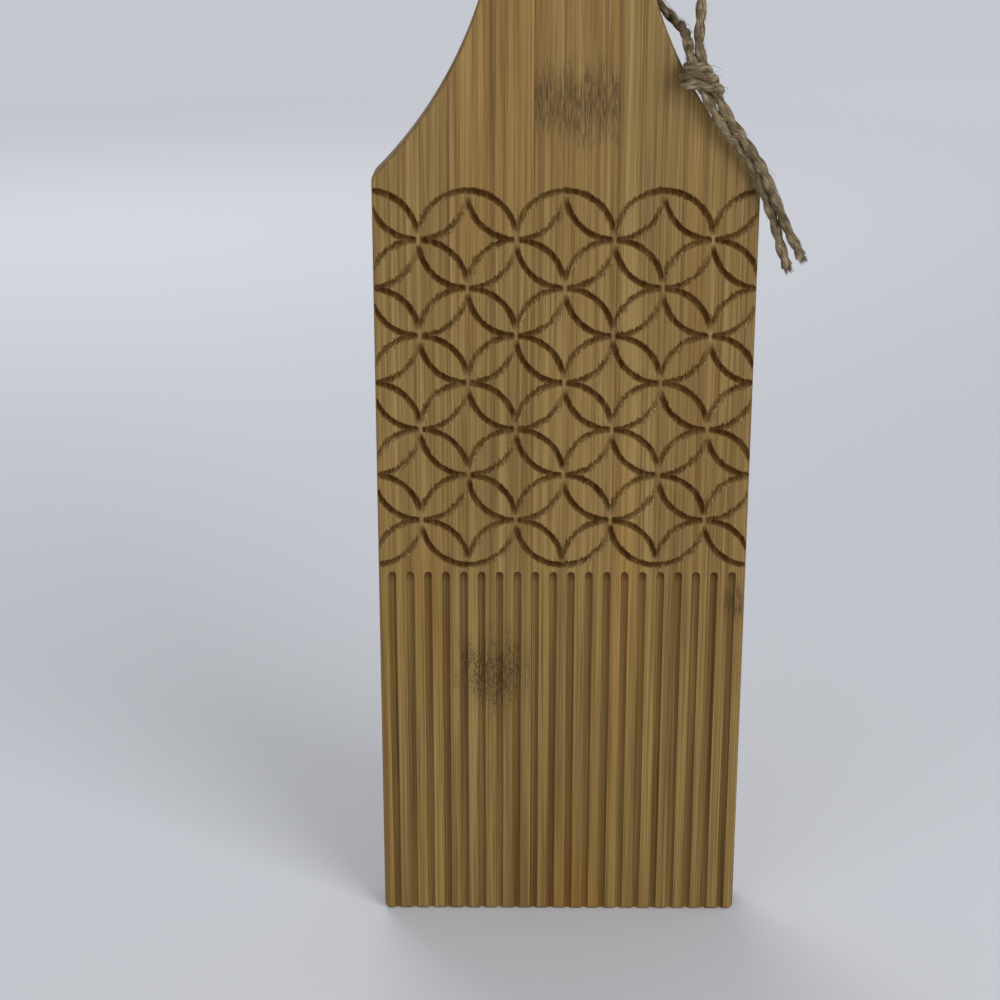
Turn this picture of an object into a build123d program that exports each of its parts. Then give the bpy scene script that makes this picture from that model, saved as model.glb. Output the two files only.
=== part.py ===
from build123d import *
from math import atan2, ceil, cos, degrees, radians, sin, tan
import os

# Gnocchi board of laminated bamboo, standing on its bottom end, in millimetres.
# +Z runs up the board to the handle, the carved front faces -Y, and the origin
# is the middle of the bottom end.

# Driving dimensions of the board. The handle is what lies above the corners of
# the shoulders: the shoulders' hollow arcs, its straight sides, its round end.
board_length = 350.0
board_width = 110.0
board_thickness = 15.0
handle_length = 118.5
handle_straight = 13.8
handle_width = 36.8
shoulder_corner_radius = 3.0
end_corner_radius = 2.0
edge_easing = 0.8

# Bamboo strips in three plies, front to back. Each ply is glued up from equal
# strips, and sawing the board to its width takes side_trim off the outer two, of
# which the left one loses what is listed here. That keeps the glue lines of
# neighbouring plies apart, and all of them clear of the hole.
strips_per_ply = 5
side_trim = 10.0
left_trims = {"front": 2.0, "core": 9.0, "back": 1.0}

# Hanging hole, at the centre of the handle's round end
hole_diameter = 11.0
hole_easing = 0.8

# Straight grooves that ridge the dough, round at the bottom and at the top end,
# spaced evenly between the middles of the outer two
groove_count = 20
groove_side_distance = 4.1
groove_width = 2.2
groove_depth = 1.6

# Overlapping circles, carved as V lines that stop short of every crossing. Each
# quarter circle is a chain of short straight cuts, which keeps its walls plain.
circle_radius = 14.0
circle_rows = 8
cuts_per_quarter = 5
line_width = 2.0
line_depth = 1.0
crossing_land = 1.15
shoulder_margin = 3.8
groove_margin = 2.3

# Jute twine, and the knot that gathers its two strands
twine_diameter = 2.7
twine_sides = 6
knot_radius = 5.2
knot_sides = 10
knot_lead = 3.0

# One overrun serves every cut that passes a surface
overrun = 1.0

# Share of a run of twine that each of its bends may take
bend_share = 0.45

# Profile of the knot's three wraps, as shares of its length and of its radius
knot_profile_shares = [
    (0.00, 0.60), (0.10, 0.70), (0.20, 0.73), (0.30, 0.70), (0.36, 0.66),
    (0.44, 0.84), (0.53, 0.89), (0.62, 0.85), (0.67, 0.80),
    (0.75, 0.96), (0.83, 1.00), (0.92, 0.90), (1.00, 0.60),
]

# Routes of the twine, from the centre of the hole. Both strands start face to face
# inside it and end side by side on top of the knot; both tails start under it.
front_strand_route = [
    (1.9, 0.0, -2.9), (1.9, -6.0, -2.9), (3.6, -10.8, -3.3), (7.4, -13.8, -4.2),
    (12.9, -14.5, -6.4), (19.6, -13.6, -11.0), (26.4, -12.2, -18.2), (31.9, -10.8, -28.2),
    (35.4, -9.2, -39.6), (36.9, -7.6, -52.2), (36.059, -7.787, -62.68),
    (36.999, -10.097, -67.58),
]
back_strand_route = [
    (1.9, 0.0, -2.9), (1.9, 6.0, -2.9), (3.0, 10.6, -4.4), (4.9, 13.4, -7.7),
    (6.8, 13.8, -12.7), (9.0, 13.5, -19.0), (12.6, 12.4, -27.2), (16.2, 11.4, -37.0),
    (20.6, 10.6, -45.8), (25.1, 9.8, -52.6), (29.2, 7.4, -56.7), (31.9, 3.0, -59.0),
    (33.1, -2.4, -60.6), (33.261, -7.994, -63.119), (34.201, -10.304, -68.019),
]
long_tail_route = [
    (38.687, -12.6, -78.158), (41.717, -12.6, -83.008), (46.4, -11.5, -89.2),
    (51.4, -10.6, -95.3), (54.6, -10.2, -101.8), (57.3, -9.9, -108.0), (59.5, -9.5, -114.2),
    (61.0, -9.2, -119.8), (63.1, -9.0, -125.2),
]
short_tail_route = [
    (41.113, -12.6, -76.642), (44.143, -12.6, -81.492), (48.7, -12.3, -87.6),
    (53.7, -11.6, -93.6), (56.9, -11.1, -99.9), (60.6, -10.4, -106.8), (63.2, -9.9, -113.0),
    (65.6, -9.5, -117.8), (67.3, -9.2, -122.0),
]

# Sizes that follow from the ones above
half_width = board_width / 2
half_handle = handle_width / 2
half_thickness = board_thickness / 2
body_length = board_length - handle_length
handle_end_height = board_length - half_handle
shoulder_reach = half_width - half_handle
shoulder_rise = handle_end_height - handle_straight - body_length
shoulder_radius = (shoulder_reach**2 + shoulder_rise**2) / (2 * shoulder_reach)
shoulder_centre_x = half_handle + shoulder_radius
shoulder_centre_z = body_length + shoulder_rise
shoulder_angle = degrees(atan2(shoulder_rise, shoulder_centre_x - half_width))
hole_radius = hole_diameter / 2
groove_radius = groove_width / 2
groove_pitch = (board_width - 2 * groove_side_distance) / (groove_count - 1)
twine_radius = twine_diameter / 2
pattern_top = body_length - shoulder_margin
pattern_bottom = pattern_top - circle_rows * circle_radius
groove_top = pattern_bottom - groove_margin
ply_thickness = board_thickness / len(left_trims)
strip_width = (board_width + side_trim) / strips_per_ply

os.makedirs("parts", exist_ok=True)


# Blank: the glued-up board, cut to its outline, eased at its edges and drilled
with BuildPart() as blank:
    with BuildSketch(Plane.XZ.offset(-half_thickness)) as outline:
        with BuildLine():
            Line((0, 0), (half_width, 0))
            Line((half_width, 0), (half_width, body_length))
            CenterArc(
                (shoulder_centre_x, shoulder_centre_z), shoulder_radius, 180, shoulder_angle
            )
            Line((half_handle, shoulder_centre_z), (half_handle, handle_end_height))
            CenterArc((0, handle_end_height), half_handle, 0, 90)
            mirror(about=Plane.YZ)
        make_face()
        fillet(outline.vertices().group_by(Axis.Y)[0], end_corner_radius)
        shoulder_corners = [
            corner for corner in outline.vertices()
            if abs(corner.Y - body_length) < end_corner_radius
        ]
        fillet(shoulder_corners, shoulder_corner_radius)
    extrude(amount=board_thickness)
    broad_faces = blank.faces().filter_by(Axis.Y).sort_by(Axis.Y)
    chamfer(broad_faces[0].edges() + broad_faces[-1].edges(), edge_easing)
    with BuildSketch(Plane.XZ.offset(half_thickness)):
        with Locations((0, handle_end_height)):
            Circle(hole_radius)
    extrude(amount=-board_thickness, mode=Mode.SUBTRACT)
    broad_faces = blank.faces().filter_by(Axis.Y).sort_by(Axis.Y)
    hole_rims = broad_faces[0].inner_wires()[0].edges() + broad_faces[-1].inner_wires()[0].edges()
    chamfer(hole_rims, hole_easing)


# Cutter of one straight groove, on the middle of the board
with BuildPart() as groove_cutter:
    with BuildSketch(Plane.XY.offset(-overrun)):
        with Locations((0, groove_depth - groove_radius - half_thickness)):
            Circle(groove_radius)
            Rectangle(groove_width, groove_depth + overrun, align=(Align.CENTER, Align.MAX))
    extrude(amount=groove_top + overrun)
    with BuildSketch(Plane.XZ):
        with Locations((0, -overrun)):
            Rectangle(
                groove_width, groove_top - groove_radius + overrun, align=(Align.CENTER, Align.MIN)
            )
        with Locations((0, groove_top - groove_radius)):
            Circle(groove_radius)
    extrude(amount=board_thickness, mode=Mode.INTERSECT)


# Cutters of the four quarters of one circle, about the middle of the circle
land_angle = degrees(crossing_land / circle_radius)
cut_angle = (90 - 2 * land_angle) / cuts_per_quarter
line_half_width = line_width / 2 * (line_depth + overrun) / line_depth
quarter_cutters = []
for quarter in range(4):
    angles = [
        radians(90 * quarter + land_angle + cut_angle * cut) for cut in range(cuts_per_quarter + 1)
    ]
    chain = [
        Vector(circle_radius * cos(angle), line_depth - half_thickness, circle_radius * sin(angle))
        for angle in angles
    ]
    with BuildPart() as quarter_cutter:
        with BuildLine():
            Polyline(chain)
        with BuildSketch(Plane(chain[0], x_dir=(0, -1, 0), z_dir=chain[1] - chain[0])):
            with BuildLine():
                Polyline(
                    (0, 0),
                    (line_depth + overrun, line_half_width),
                    (line_depth + overrun, -line_half_width),
                    close=True,
                )
            make_face()
        sweep(transition=Transition.RIGHT)
    quarter_cutters.append(quarter_cutter.part)


def grooves_between(left, right):
    """Cutters of the straight grooves that reach the wood between two places across"""
    places = [(number - (groove_count - 1) / 2) * groove_pitch for number in range(groove_count)]
    return [
        groove_cutter.part.moved(Location((place, 0, 0)))
        for place in places
        if left < place + groove_radius and place - groove_radius < right
    ]


def circles_between(left, right):
    """Cutters of the quarter circles that reach the wood between two places across"""
    columns = ceil(half_width / circle_radius)
    cutters = []
    for column in range(-columns, columns + 1):
        for row in range(circle_rows + 1):
            if (column + row) % 2 == 0:
                continue
            centre = Location((column * circle_radius, 0, pattern_top - row * circle_radius))
            for quarter, cutter in enumerate(quarter_cutters):
                side = 1 if quarter in (0, 3) else -1
                rise = 1 if quarter in (0, 1) else -1
                inner = min(abs(column), abs(column + side)) * circle_radius
                low, high = sorted((column * circle_radius, (column + side) * circle_radius))
                on_board = inner < half_width and 0 <= row - rise <= circle_rows
                if on_board and left < high + line_width and low - line_width < right:
                    cutters.append(cutter.moved(centre))
    return cutters


# Strips: each is the blank between two glue lines of its ply, and those of the
# front ply carry the grooves and the circles
for ply_number, (ply, left_trim) in enumerate(left_trims.items()):
    near = -half_thickness + ply_thickness * ply_number
    far = near + ply_thickness
    for strip_number in range(1, strips_per_ply + 1):
        right = strip_width * strip_number - left_trim - half_width
        left = right - strip_width
        carving = []
        if ply == "front":
            carving = grooves_between(left, right) + circles_between(left, right)
        with BuildPart() as strip:
            add(blank.part)
            with Locations(((left + right) / 2, (near + far) / 2, board_length / 2)):
                Box(right - left, far - near, board_length + 2 * overrun, mode=Mode.INTERSECT)
            if carving:
                add(carving, mode=Mode.SUBTRACT)
        strip.part.label = f"{ply}_strip_{strip_number}"
        export_step(strip.part, f"parts/{strip.part.label}.step")


def placed(route):
    """Points of a route, from the centre of the hole where that is on the board"""
    return [Vector(x, y, handle_end_height + height) for x, y, height in route]


def bend_radii(points):
    """Radius of each bend between points: as large as the two runs beside it allow"""
    radii = []
    for before, corner, after in zip(points, points[1:], points[2:]):
        run_in = corner - before
        run_out = after - corner
        half_turn = radians(run_in.get_angle(run_out)) / 2
        radii.append(bend_share * min(run_in.length, run_out.length) / tan(half_turn))
    return radii


# Twine: two strands from the hole to the knot, and two tails below it
twine_routes = {
    "twine_front_strand": front_strand_route,
    "twine_back_strand": back_strand_route,
    "twine_long_tail": long_tail_route,
    "twine_short_tail": short_tail_route,
}
twine_section = twine_sides / 2 * twine_radius**2 * sin(radians(360 / twine_sides))
for name, route in twine_routes.items():
    points = placed(route)
    radii = bend_radii(points)
    with BuildPart() as twine:
        with BuildLine() as path:
            FilletPolyline(*points, radius=radii)
        length = sum(edge.length for edge in path.edges())
        with BuildSketch(Plane(points[0], z_dir=points[1] - points[0])):
            RegularPolygon(twine_radius, twine_sides)
        sweep()
    twine.part.label = name
    export_step(twine.part, f"parts/{name}.step")
    print(name, "length", round(length, 1), "volume share",
          round(twine.part.volume / (twine_section * length), 4))
    print("  bend radii", [round(radius, 1) for radius in radii])


# Knot: three wraps that swell downwards, round an axis that leaves both pairs of
# twine ends in their own direction
front_lead, front_end = placed(front_strand_route[-2:])
back_end = placed(back_strand_route[-1:])[0]
long_start, long_lead = placed(long_tail_route[:2])
short_start = placed(short_tail_route[:1])[0]
knot_top = (front_end + back_end) / 2
knot_bottom = (long_start + short_start) / 2
across = front_end - back_end
way_in = (front_end - front_lead).normalized()
way_out = (long_lead - long_start).normalized()
with BuildPart() as knot:
    with BuildLine() as knot_axis:
        bend = Bezier(
            knot_top, knot_top + way_in * knot_lead, knot_bottom - way_out * knot_lead, knot_bottom
        )
    for place, swell in knot_profile_shares:
        with BuildSketch(Plane(bend @ place, x_dir=across, z_dir=bend % place)):
            RegularPolygon(knot_radius * swell, knot_sides)
    loft(ruled=True)
knot.part.label = "twine_knot"
export_step(knot.part, "parts/twine_knot.step")
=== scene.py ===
import logging
import math
from dataclasses import dataclass
from enum import Enum
from functools import cached_property

import bmesh
import bpy
import numpy as np
from mathutils import Euler, Matrix, Vector


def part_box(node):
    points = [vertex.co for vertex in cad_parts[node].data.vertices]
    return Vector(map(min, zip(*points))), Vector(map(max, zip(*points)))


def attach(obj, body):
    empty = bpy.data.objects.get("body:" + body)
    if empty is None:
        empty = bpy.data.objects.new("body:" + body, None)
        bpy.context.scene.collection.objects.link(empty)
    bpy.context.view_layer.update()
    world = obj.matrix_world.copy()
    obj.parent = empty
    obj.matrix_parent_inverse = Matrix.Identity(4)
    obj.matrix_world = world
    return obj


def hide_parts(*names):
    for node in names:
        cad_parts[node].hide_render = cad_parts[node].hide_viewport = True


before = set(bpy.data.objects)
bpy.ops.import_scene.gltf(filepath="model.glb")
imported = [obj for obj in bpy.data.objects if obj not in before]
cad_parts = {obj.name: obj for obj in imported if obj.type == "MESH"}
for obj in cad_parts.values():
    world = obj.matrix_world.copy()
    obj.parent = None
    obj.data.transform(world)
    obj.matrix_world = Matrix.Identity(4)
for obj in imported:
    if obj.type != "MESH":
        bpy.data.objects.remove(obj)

# Gnocchi board of laminated bamboo with a jute hanging loop, in metres, dressed on
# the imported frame: +Z up the board, the carved front faces -Y.

log = logging.getLogger("gnocchi_board")

MM = 0.001
FULL_TURN = 2 * math.pi
# Places closer than this are the same
NEAR = 1e-5
LATTICE = 256

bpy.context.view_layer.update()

Array = np.ndarray
Mesh = bpy.types.Mesh
Socket = bpy.types.NodeSocket
Value = Socket | float | tuple

# Routes of the twine, in millimetres from the centre of the hole
FRONT_STRAND_ROUTE = [
    (1.9, 0.0, -2.9), (1.9, -6.0, -2.9), (3.6, -10.8, -3.3), (7.4, -13.8, -4.2),
    (12.9, -14.5, -6.4), (19.6, -13.6, -11.0), (26.4, -12.2, -18.2), (31.9, -10.8, -28.2),
    (35.4, -9.2, -39.6), (36.9, -7.6, -52.2), (36.059, -7.787, -62.68),
    (36.999, -10.097, -67.58),
]
BACK_STRAND_ROUTE = [
    (1.9, 0.0, -2.9), (1.9, 6.0, -2.9), (3.0, 10.6, -4.4), (4.9, 13.4, -7.7),
    (6.8, 13.8, -12.7), (9.0, 13.5, -19.0), (12.6, 12.4, -27.2), (16.2, 11.4, -37.0),
    (20.6, 10.6, -45.8), (25.1, 9.8, -52.6), (29.2, 7.4, -56.7), (31.9, 3.0, -59.0),
    (33.1, -2.4, -60.6), (33.261, -7.994, -63.119), (34.201, -10.304, -68.019),
]
LONG_TAIL_ROUTE = [
    (38.687, -12.6, -78.158), (41.717, -12.6, -83.008), (46.4, -11.5, -89.2),
    (51.4, -10.6, -95.3), (54.6, -10.2, -101.8), (57.3, -9.9, -108.0), (59.5, -9.5, -114.2),
    (61.0, -9.2, -119.8), (63.1, -9.0, -125.2),
]
SHORT_TAIL_ROUTE = [
    (41.113, -12.6, -76.642), (44.003, -12.8, -81.612), (48.2, -12.9, -87.9),
    (53.0, -12.4, -94.0), (56.2, -12.0, -100.2), (59.4, -11.6, -107.2), (61.9, -11.3, -113.3),
    (64.6, -10.6, -118.0), (66.9, -9.9, -122.1),
]


class Solver(Enum):
    """Operations of the mesh boolean."""

    INTERSECT = "INTERSECT"
    DIFFERENCE = "DIFFERENCE"


class Ply(Enum):
    """Layers of the board, front to back."""

    FRONT = "front"
    CORE = "core"
    BACK = "back"


def between(ends: tuple, share: Array | float) -> Array | float:
    """Value at a share of the way between two ends."""
    return ends[0] + (ends[1] - ends[0]) * share


def smooth_step(low: float, high: float, values: Array | float) -> Array | float:
    """Ease values from 0 at the low limit to 1 at the high one."""
    share = np.clip((values - low) / (high - low), 0.0, 1.0)
    return share * share * (3.0 - 2.0 * share)


def lattice_noise(x: Array, z: Array, cell: tuple, seed: int) -> Array:
    """Seeded value noise, smooth between the corners of a lattice.

    Args:
        x: Places across.
        z: Places up.
        cell: Width and height of a lattice cell.
        seed: Seed of the lattice values.

    Returns:
        Values from -1 to 1.
    """
    table = np.random.default_rng(seed).uniform(-1.0, 1.0, (LATTICE, LATTICE))
    column, row = x / cell[0], z / cell[1]
    left, low = np.floor(column).astype(int), np.floor(row).astype(int)
    across = smooth_step(0.0, 1.0, column - left)
    up = smooth_step(0.0, 1.0, row - low)
    near, far = (
        table[left % LATTICE, line] * (1 - across) + table[(left + 1) % LATTICE, line] * across
        for line in (low % LATTICE, (low + 1) % LATTICE)
    )
    return near * (1 - up) + far * up


def divided(stretches: list) -> Array:
    """Places in order, from stretches with a start, an end and a longest step.

    Args:
        stretches: The stretches, each starting where the one before it ends.

    Returns:
        The places.
    """
    places = [stretches[0][0]]
    for start, end, step in stretches:
        count = math.ceil((end - start) / step)
        places += [start + (end - start) * (number + 1) / count for number in range(count)]
    return np.array(places)


def line_length(line: list) -> float:
    """Length of a line of points."""
    return sum((end - start).length for start, end in zip(line, line[1:]))


def spaced_points(line: list, step: float) -> list:
    """Points evenly spaced along a line.

    Args:
        line: Points of the line.
        step: Distance between the new points.

    Returns:
        The new points.
    """
    places = np.array(line)
    lengths = np.append(0.0, np.cumsum(np.linalg.norm(np.diff(places, axis=0), axis=1)))
    wanted = np.linspace(0.0, lengths[-1], max(2, round(lengths[-1] / step)) + 1)
    axes = [np.interp(wanted, lengths, axis) for axis in places.T]
    return [Vector(place) for place in zip(*axes)]


def line_frames(points: list) -> list:
    """Directions across a line that don't twist along it.

    Args:
        points: Points of the line.

    Returns:
        Directions along, to the side and up, at each point.
    """
    pairs = zip(points[:1] + points[:-1], points[1:] + points[-1:])
    tangents = [(after - before).normalized() for before, after in pairs]
    side = tangents[0].orthogonal().normalized()
    frames = []
    for tangent in tangents:
        side = (side - tangent * side.dot(tangent)).normalized()
        frames.append((tangent, side, tangent.cross(side)))
    return frames


def outward(line_frame: tuple, angle: float) -> Vector:
    """Direction across a line, at an angle round it."""
    return line_frame[1] * math.cos(angle) + line_frame[2] * math.sin(angle)


def arc_points(centre: tuple, radius: float, start: float, end: float, steps: int) -> list:
    """Points of an arc, across and up, between two angles in degrees."""
    angles = [math.radians(start + (end - start) * step / steps) for step in range(steps + 1)]
    return [
        Vector((centre[0] + radius * math.cos(angle), centre[1] + radius * math.sin(angle)))
        for angle in angles
    ]


def add_object(name: str, data: bpy.types.ID) -> bpy.types.Object:
    """Put a mesh, a curve, a lamp or a camera into the scene.

    Args:
        name: Name of the new object.
        data: What it shows, in the frame's own coordinates.

    Returns:
        The new object, at the origin.
    """
    thing = bpy.data.objects.new(name, data)
    bpy.context.scene.collection.objects.link(thing)
    return thing


def finished_mesh(name: str, bm: bmesh.types.BMesh) -> Mesh:
    """Turn a bmesh into a mesh with its faces outwards.

    Args:
        name: Name of the mesh.
        bm: What it is made from, which is freed.

    Returns:
        The mesh.
    """
    bmesh.ops.recalc_face_normals(bm, faces=bm.faces)
    mesh = bpy.data.meshes.new(name)
    bm.to_mesh(mesh)
    bm.free()
    return mesh


def combined(first: Mesh, second: Mesh, how: Solver) -> Mesh:
    """Mesh boolean of two closed meshes.

    Args:
        first: Mesh that is cut.
        second: Mesh that cuts it.
        how: Operation.

    Returns:
        A new mesh.
    """
    target = add_object("boolean_target", first)
    cutter = add_object("boolean_cutter", second)
    modifier = target.modifiers.new("boolean", "BOOLEAN")
    modifier.operation = how.value
    modifier.solver = "MANIFOLD"
    modifier.object = cutter
    depsgraph = bpy.context.evaluated_depsgraph_get()
    result = bpy.data.meshes.new_from_object(target.evaluated_get(depsgraph))
    for helper in (target, cutter):
        bpy.data.objects.remove(helper)
    return result


def box_mesh(low: tuple, high: tuple) -> Mesh:
    """Plain box between its lowest and its highest corner, for cutting.

    Args:
        low: Lowest corner.
        high: Highest corner.

    Returns:
        The mesh.
    """
    bm = bmesh.new()
    middle = (Vector(low) + Vector(high)) / 2
    size = Vector(high) - Vector(low)
    matrix = Matrix.Translation(middle) @ Matrix.Diagonal((*size, 1.0))
    bmesh.ops.create_cube(bm, size=1.0, matrix=matrix)
    return finished_mesh("box", bm)


def curve_mesh(kind: str, runs: list, **settings: float) -> Mesh:
    """Mesh of a curve.

    Args:
        kind: Type of its splines.
        runs: Pairs of a spline's points and its radii.
        **settings: Properties of the curve.

    Returns:
        The mesh.
    """
    curve = bpy.data.curves.new("guide", "CURVE")
    curve.dimensions = "3D"
    for name, value in settings.items():
        setattr(curve, name, value)
    for points, radii in runs:
        spline = curve.splines.new(kind)
        spline.points.add(len(points) - 1)
        for point, place, radius in zip(spline.points, points, radii):
            point.co = (*place, 1.0)
            point.radius = radius
        if kind == "NURBS":
            spline.order_u = 3
            spline.use_endpoint_u = True
    guide = add_object("guide", curve)
    mesh = bpy.data.meshes.new_from_object(guide)
    bpy.data.objects.remove(guide)
    return mesh


def add_tubes(bm: bmesh.types.BMesh, runs: list, sides: int) -> None:
    """Add tubes to a mesh, with their own coordinates along and round them.

    Args:
        bm: Mesh that they join.
        runs: Pairs of a tube's points and its radii in millimetres.
        sides: Bevel resolution of their sections.
    """
    mesh = curve_mesh("POLY", runs, bevel_depth=MM, bevel_resolution=sides, use_fill_caps=True)
    mesh.shade_smooth()
    length = line_length(runs[0][0])
    for corner in mesh.uv_layers.active.uv:
        corner.vector.x *= length
    bm.from_mesh(mesh)


@dataclass(frozen=True)
class Pattern:
    """Noise with lumps per metre along each axis, its octaves and their roughness."""

    scale: tuple
    detail: float = 2.0
    seed: float = 0.0
    rough: float = 0.5


class Shader:
    """Node tree of a material or of the world, built a few nodes at a time."""

    # Shift of a pattern along each axis, for each unit of its seed
    SEED_SHIFT = (1.0, 0.37, 0.71)

    def __init__(self, owner: bpy.types.ID, surface: str = "Principled BSDF") -> None:
        """Start from the plain tree of a material or a world.

        Args:
            owner: The material or the world.
            surface: Name of the node that its tree starts with.
        """
        owner.use_nodes = True
        self.owner = owner
        self.tree = owner.node_tree
        self.surface = self.tree.nodes[surface]

    def plug(self, socket: Socket, value: Value) -> None:
        """Link a socket to an input, or set the input to a plain value.

        Args:
            socket: The input.
            value: A socket, a number, a vector or a colour.
        """
        if isinstance(value, Socket):
            self.tree.links.new(value, socket)
        elif socket.type == "RGBA" and len(value) == 3:
            socket.default_value = (*value, 1.0)
        else:
            socket.default_value = value

    def fill(self, node: bpy.types.Node, inputs: dict) -> None:
        """Plug values into the inputs of a node, by name with _ for a space."""
        for name, value in inputs.items():
            self.plug(node.inputs[name.replace("_", " ")], value)

    def node(self, kind: str, settings: dict | None = None, **inputs: Value) -> bpy.types.Node:
        """Add a node.

        Args:
            kind: Type of the node.
            settings: Properties of the node.
            **inputs: Values or sockets for its inputs, by name with _ for a space.

        Returns:
            The node.
        """
        node = self.tree.nodes.new(kind)
        for name, value in (settings or {}).items():
            setattr(node, name, value)
        self.fill(node, inputs)
        return node

    def result(self, kind: str, settings: dict, *values: Value) -> Socket:
        """Add a node whose inputs are filled in their order.

        Args:
            kind: Type of the node.
            settings: Properties of the node.
            *values: Values or sockets for its inputs in use.

        Returns:
            Its first output in use.
        """
        node = self.node(kind, settings)
        for socket, value in zip([socket for socket in node.inputs if socket.enabled], values):
            self.plug(socket, value)
        return next(socket for socket in node.outputs if socket.enabled)

    def math(self, how: str, *values: Value) -> Socket:
        """Result of a math operation."""
        return self.result("ShaderNodeMath", {"operation": how}, *values)

    def mix(self, how: str, factor: Value, first: Value, second: Value) -> Socket:
        """Colour with a share of a second one, in a blend type."""
        settings = {"data_type": "RGBA", "blend_type": how}
        return self.result("ShaderNodeMix", settings, factor, first, second)

    def eased(self, value: Value, low: float, high: float) -> Socket:
        """Value eased from 0 at the low limit to 1 at the high one."""
        settings = {"interpolation_type": "SMOOTHSTEP"}
        return self.result("ShaderNodeMapRange", settings, value, low, high)

    def reach(self, vector: Value) -> Socket:
        """Length of a vector."""
        return self.result("ShaderNodeVectorMath", {"operation": "LENGTH"}, vector)

    def axes(self, vector: Value) -> bpy.types.NodeOutputs:
        """Parts of a vector."""
        return self.node("ShaderNodeSeparateXYZ", Vector=vector).outputs

    @cached_property
    def place(self) -> Socket:
        """Object's own coordinates."""
        return self.node("ShaderNodeTexCoord").outputs["Object"]

    def attribute(self, name: str) -> Socket:
        """Number that is kept on the mesh under a name."""
        return self.node("ShaderNodeAttribute", {"attribute_name": name}).outputs["Fac"]

    def camera_ray(self) -> Socket:
        """Whether the camera looks straight at the place."""
        return self.node("ShaderNodeLightPath").outputs["Is Camera Ray"]

    def ramp(self, factor: Value, stops: list | tuple) -> Socket:
        """Add a colour ramp.

        Args:
            factor: Socket that drives it.
            stops: Pairs of a place and a colour.

        Returns:
            The colour's socket.
        """
        node = self.node("ShaderNodeValToRGB", Fac=factor)
        elements = node.color_ramp.elements
        while len(elements) < len(stops):
            elements.new(0.5)
        for element, (place, colour) in zip(elements, stops):
            element.position = place
            element.color = (*colour, 1.0)
        return node.outputs["Color"]

    def noise(self, pattern: Pattern, seed: float, vector: Socket | None = None) -> Socket:
        """Add noise.

        Args:
            pattern: How it looks.
            seed: Shift of the pattern.
            vector: Coordinates that it follows, or nothing for the object's own.

        Returns:
            The value's socket.
        """
        shift = tuple((seed + pattern.seed) * part for part in self.SEED_SHIFT)
        place = self.node("ShaderNodeMapping", Vector=vector or self.place, Scale=pattern.scale,
                          Location=shift).outputs[0]
        return self.node("ShaderNodeTexNoise", Vector=place, Scale=1.0, Detail=pattern.detail,
                         Roughness=pattern.rough).outputs["Fac"]

    def bump(self, height: Value, distance: float, strength: float) -> Socket:
        """Normal of a relief, from its height, its depth in metres and its share."""
        node = self.node("ShaderNodeBump", Height=height, Distance=distance, Strength=strength)
        return node.outputs["Normal"]

    def finished(self, **inputs: Value) -> bpy.types.ID:
        """Fill the surface's inputs and give back the material."""
        self.fill(self.surface, inputs)
        return self.owner


@dataclass(frozen=True)
class Knuckle:
    """Dark flecked joint of the bamboo cane, where a strip crosses one."""

    across: float
    height: float
    half_width: float
    half_height: float
    strength: float = 1.0
    flecks: Pattern = Pattern((3000, 3000, 210), 2.0, 1, 0.6)


@dataclass(frozen=True)
class Grain:
    """How one strip of bamboo looks."""

    node: str
    tone: float
    warmth: float
    seed: float
    knuckles: tuple = ()

    @property
    def ply(self) -> Ply:
        """Ply that the strip belongs to."""
        return Ply(self.node.split("_")[0])


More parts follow.
